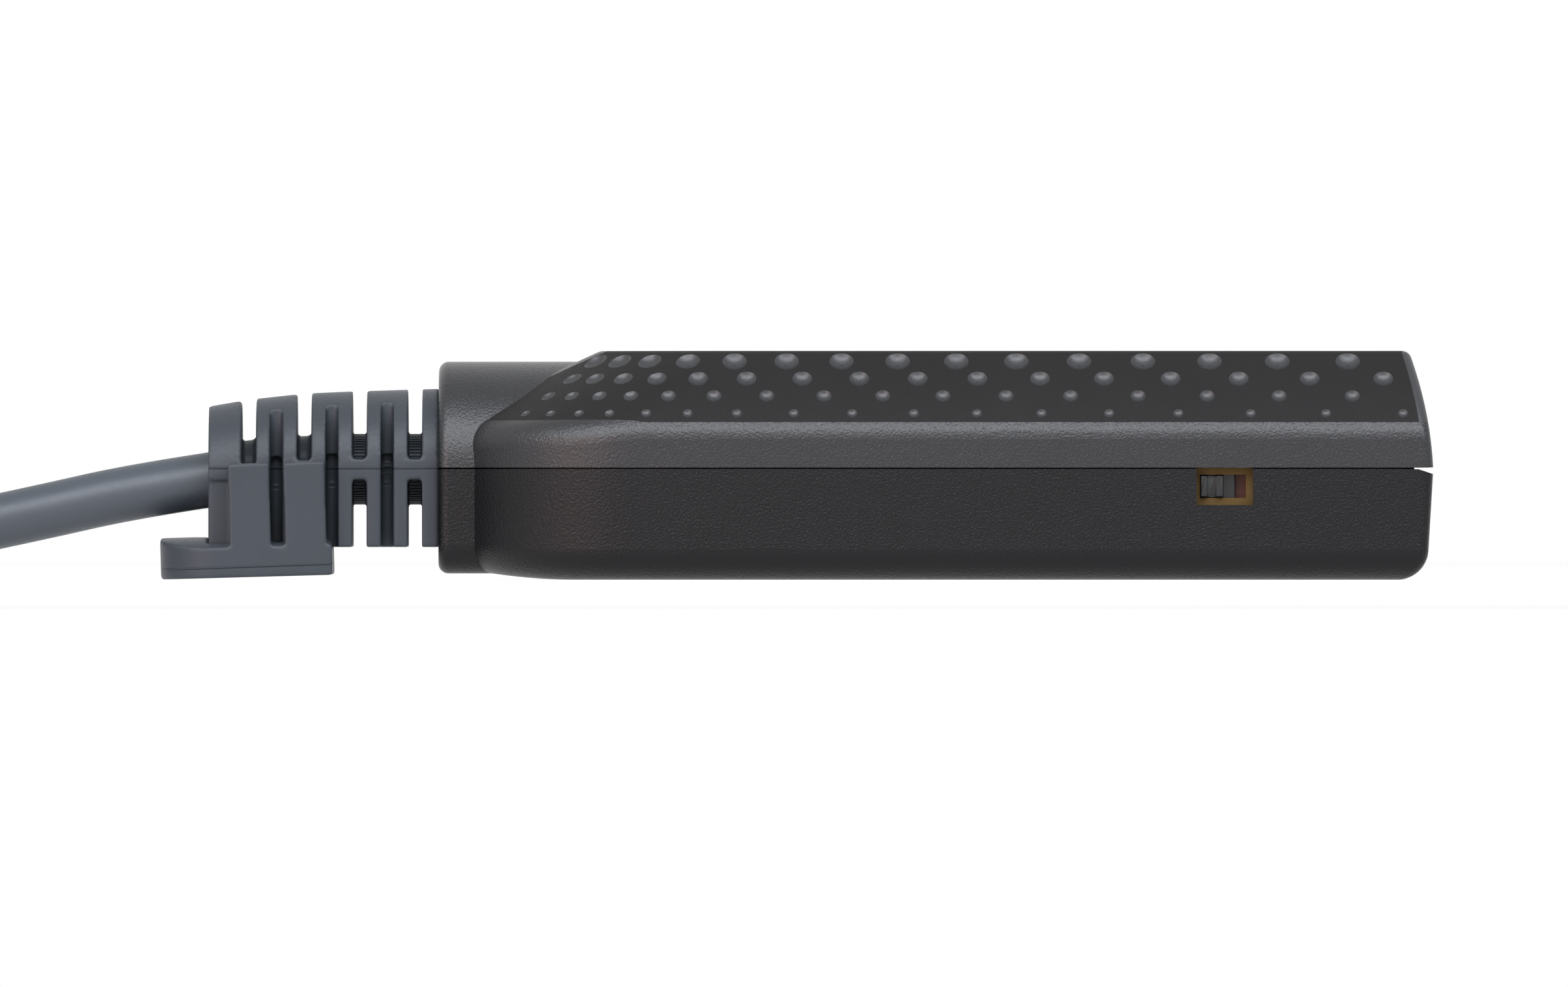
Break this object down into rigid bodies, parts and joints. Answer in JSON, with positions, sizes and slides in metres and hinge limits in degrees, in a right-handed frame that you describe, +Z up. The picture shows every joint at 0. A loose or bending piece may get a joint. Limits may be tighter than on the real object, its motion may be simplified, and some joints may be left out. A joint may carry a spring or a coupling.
{
  "type": "kvm dongle",
  "caption": "Long dark moulded dongle with a dimpled grip, a network jack, a slide switch, a segmented strain relief with a clip, and a coiled lead with a small plug.",
  "frame": {"origin": "under the middle of the rigid dongle (case, strain relief and clip), on the surface that its flat underside rests on; the lead, its coil and its plug are left out", "axes": "+X along the dongle from the lead to the network jack, +Z up from the underside to the dimpled grip, +Y away from the slide switch"},
  "size_m": [0.1989, 0.0583, 0.0207],
  "materials": {
    "case_plastic": "fine moulded grain, dark charcoal",
    "boot_plastic": "moulded, slightly soft, charcoal",
    "cord_jacket": "smooth extruded jacket, dark grey",
    "crimp_steel": "plated",
    "wire_insulation": "thin insulation",
    "connector_plastic": "moulded, off-white",
    "board_laminate": "green solder mask",
    "chip_resin": "moulded resin",
    "can_metal": "pressed can",
    "capacitor_sleeve": "printed-free sleeve",
    "jack_plastic": "moulded black",
    "shield_metal": "bright plated sheet",
    "contact_metal": "gold plated",
    "switch_frame_metal": "dull stamped strip",
    "switch_plastic": "reddish brown laminate",
    "knob_plastic": "moulded black",
    "screw_steel": "zinc plated",
    "tie_plastic": "flat strap",
    "plug_plastic": "satin overmould",
    "plug_shell_metal": "drawn plated shell",
    "plug_insert_plastic": "moulded black"
  },
  "bodies": {
    "dongle": {"upper_case": "case_plastic", "lower_case": "case_plastic", "strain_relief_boot": "boot_plastic", "cable_clip": "boot_plastic", "inner_cable": "cord_jacket", "lead": "cord_jacket", "lead_coil": "cord_jacket", "cable_ferrule": "crimp_steel", "core_wires": "wire_insulation", "header_plug": "connector_plastic", "cable_header": "connector_plastic", "main_board": "board_laminate", "controller_chip": "chip_resin", "video_chip": "chip_resin", "crystal": "can_metal", "capacitors": "capacitor_sleeve", "jack_housing": "jack_plastic", "jack_shield": "shield_metal", "jack_contacts": "contact_metal", "switch_frame": "switch_frame_metal", "switch_base": "switch_plastic", "switch_terminals": "contact_metal", "case_screws": "screw_steel", "coil_tie": "tie_plastic", "plug_overmould": "plug_plastic", "plug_shell": "plug_shell_metal", "plug_insert": "plug_insert_plastic"},
    "switch_knob": {"switch_slider": "knob_plastic"}
  },
  "joints": [
    {"name": "switch_slide", "type": "slide", "parent": "dongle", "child": "switch_knob", "axis": [1, 0, 0], "range_m": [0, 0.00195]}
  ]
}
